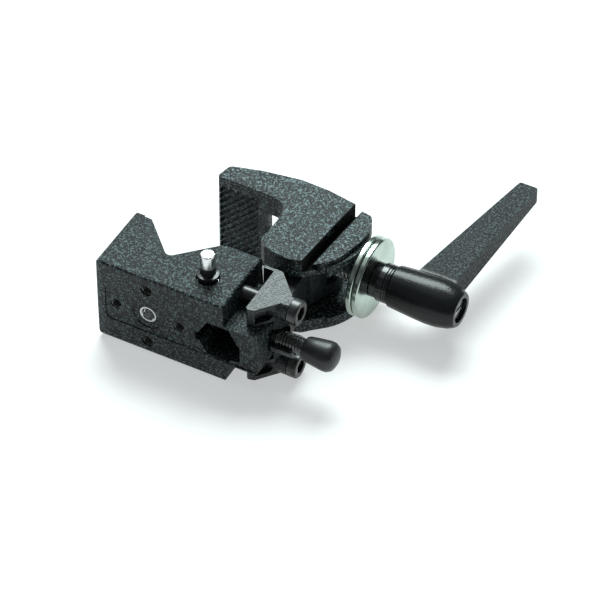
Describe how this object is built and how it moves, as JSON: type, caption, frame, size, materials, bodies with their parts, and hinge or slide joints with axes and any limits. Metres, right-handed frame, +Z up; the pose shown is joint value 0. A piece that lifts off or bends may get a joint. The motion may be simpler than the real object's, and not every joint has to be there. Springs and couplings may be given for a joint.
{
  "type": "super clamp",
  "caption": "Black cast-aluminium super clamp with a V jaw, a swinging cam jaw, a lever screw, a hex stud socket, a safety pin and a lock knob.",
  "frame": {"origin": "point on the fixed jaw's flat underside, 8 mm behind its front face, on the centre line of the V notch", "axes": "+X along the clamp screw towards the handle, +Y from the fixed jaw to the movable jaw, +Z up out of the safety pin"},
  "size_m": [0.1228, 0.1288, 0.05],
  "materials": {
    "cast_black": "powder coated, fine speckled texture",
    "bracket_black": "smooth satin black coat",
    "handle_black": "semi-gloss black coat",
    "satin_black_steel": "satin black",
    "black_oxide": "black oxide",
    "zinc_plate": "bright zinc plate",
    "bright_steel": "bright turned steel",
    "brass": "turned brass"
  },
  "bodies": {
    "fixed_frame": {"fixed_jaw": "cast_black", "hinge_bracket": "bracket_black", "bracket_screw_upper": "black_oxide", "bracket_screw_lower": "black_oxide", "pivot_pin": "bright_steel", "pivot_washer_upper": "bright_steel", "pivot_washer_lower": "bright_steel", "pivot_set_screw": "black_oxide", "accessory_thread_insert": "bright_steel", "safety_pin_spring": "bright_steel"},
    "nut": {"barrel_nut": "bright_steel"},
    "washers": {"thrust_washer_inner": "zinc_plate", "thrust_washer_outer": "zinc_plate"},
    "screw": {"clamp_screw": "bright_steel", "screw_collar": "satin_black_steel", "handle_retaining_screw": "black_oxide", "handle_spring": "bright_steel"},
    "handle": {"lever_handle": "handle_black"},
    "jaw": {"movable_jaw": "cast_black"},
    "pin": {"safety_pin": "bright_steel", "safety_pin_clip": "black_oxide"},
    "lock_pad": {"lock_pressure_pad": "brass"},
    "lock": {"lock_screw": "black_oxide", "lock_knob": "satin_black_steel"}
  },
  "joints": [
    {"name": "nut_swivel", "type": "hinge", "parent": "fixed_frame", "child": "nut", "pos_m": [0.0405, 0.0515, 0.018], "axis": [0, 0, 1], "range_deg": [-5.6, 9]},
    {"name": "screw_advance", "type": "slide", "parent": "nut", "child": "washers", "axis": [-1, 0, 0], "range_m": [-0.00571, 0.00917]},
    {"name": "handle_turn", "type": "hinge", "parent": "washers", "child": "screw", "pos_m": [0.0645, 0.0515, 0.018], "axis": [-1, 0, 0], "range_deg": [-1370, 2200]},
    {"name": "handle_lift", "type": "slide", "parent": "screw", "child": "handle", "axis": [1, 0, 0], "range_m": [0, 0.003], "stiffness_N_per_m": 200, "springref_m": -0.003},
    {"name": "jaw_swing", "type": "hinge", "parent": "fixed_frame", "child": "jaw", "pos_m": [0.0355, 0.0395, 0.018], "axis": [0, 0, 1], "range_deg": [-28, 45]},
    {"name": "safety_pin_press", "type": "slide", "parent": "fixed_frame", "child": "pin", "axis": [0, 0, -1], "range_m": [0, 0.007], "stiffness_N_per_m": 200, "springref_m": -0.003, "deforming": ["safety_pin_spring"]},
    {"name": "lock_advance", "type": "slide", "parent": "fixed_frame", "child": "lock_pad", "axis": [-1, 0, 0], "range_m": [-0.003, 0.0025]},
    {"name": "lock_turn", "type": "hinge", "parent": "lock_pad", "child": "lock", "pos_m": [0.0565, 0.0048, 0.0196], "axis": [-1, 0, 0], "range_deg": [-864, 720]}
  ],
  "couplings": [
    {"joint": "jaw_swing", "follows": "handle_turn", "ratio": 0.020425},
    {"joint": "screw_advance", "follows": "handle_turn", "m_per_rad": 0.0002387},
    {"joint": "nut_swivel", "follows": "handle_turn", "ratio": 0.004085},
    {"joint": "lock_advance", "follows": "lock_turn", "m_per_rad": 0.00019894}
  ]
}
